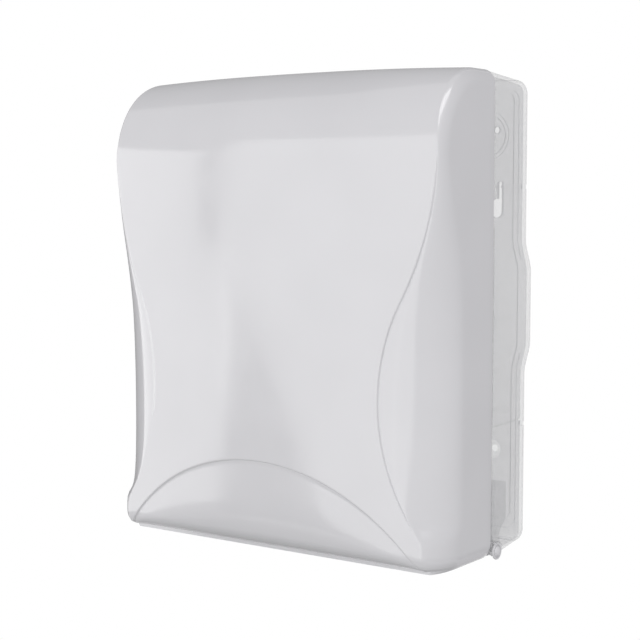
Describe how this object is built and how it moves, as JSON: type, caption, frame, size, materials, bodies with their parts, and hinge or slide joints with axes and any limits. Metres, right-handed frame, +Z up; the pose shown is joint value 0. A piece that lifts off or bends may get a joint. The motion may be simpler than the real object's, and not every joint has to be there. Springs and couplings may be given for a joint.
{
  "type": "multifold hand-towel dispenser",
  "caption": "Wall-hung dispenser for folded paper hand towels: translucent housing, slotted tray and a white hinged front cover with a cam lock.",
  "frame": {"origin": "the middle of the four wall-screw holes, on the wall plane", "axes": "+X to the right as seen by the user, +Y into the wall, +Z up; the front faces -Y"},
  "size_m": [0.297, 0.1407, 0.3451],
  "materials": {
    "white_plastic": "glossy white injection-moulded plastic",
    "clear_housing": "translucent light grey injection-moulded plastic",
    "zinc": "zinc-plated steel",
    "steel": "plain steel",
    "chrome_lock": "nickel-chrome plated die casting"
  },
  "bodies": {
    "housing": {"back_housing": "clear_housing", "bottom_tray": "white_plastic", "tray_bracket_left": "clear_housing", "tray_bracket_right": "clear_housing", "tray_screw_left": "steel", "tray_screw_right": "steel", "paper_guide_left": "clear_housing", "paper_guide_right": "clear_housing", "guide_screw_left_upper": "steel", "guide_screw_left_lower": "steel", "guide_screw_right_upper": "steel", "guide_screw_right_lower": "steel", "strike_plate": "zinc", "strike_screw_left": "steel", "strike_screw_right": "steel", "hinge_pin_left": "white_plastic", "hinge_pin_right": "white_plastic"},
    "cover": {"front_cover": "white_plastic", "hinge_arm_left": "white_plastic", "hinge_arm_right": "white_plastic", "lock_barrel": "chrome_lock", "lock_nut": "zinc"},
    "lock_rotor": {"lock_plug": "chrome_lock", "lock_cam": "zinc", "cam_washer": "zinc", "cam_screw": "steel"}
  },
  "joints": [
    {"name": "cover_hinge", "type": "hinge", "parent": "housing", "child": "cover", "pos_m": [0, -0.0512, -0.1806], "axis": [1, 0, 0], "range_deg": [0, 95]},
    {"name": "lock_turn", "type": "hinge", "parent": "cover", "child": "lock_rotor", "pos_m": [0, -0.067, 0.14], "axis": [0, 0, 1], "range_deg": [0, 90]}
  ]
}
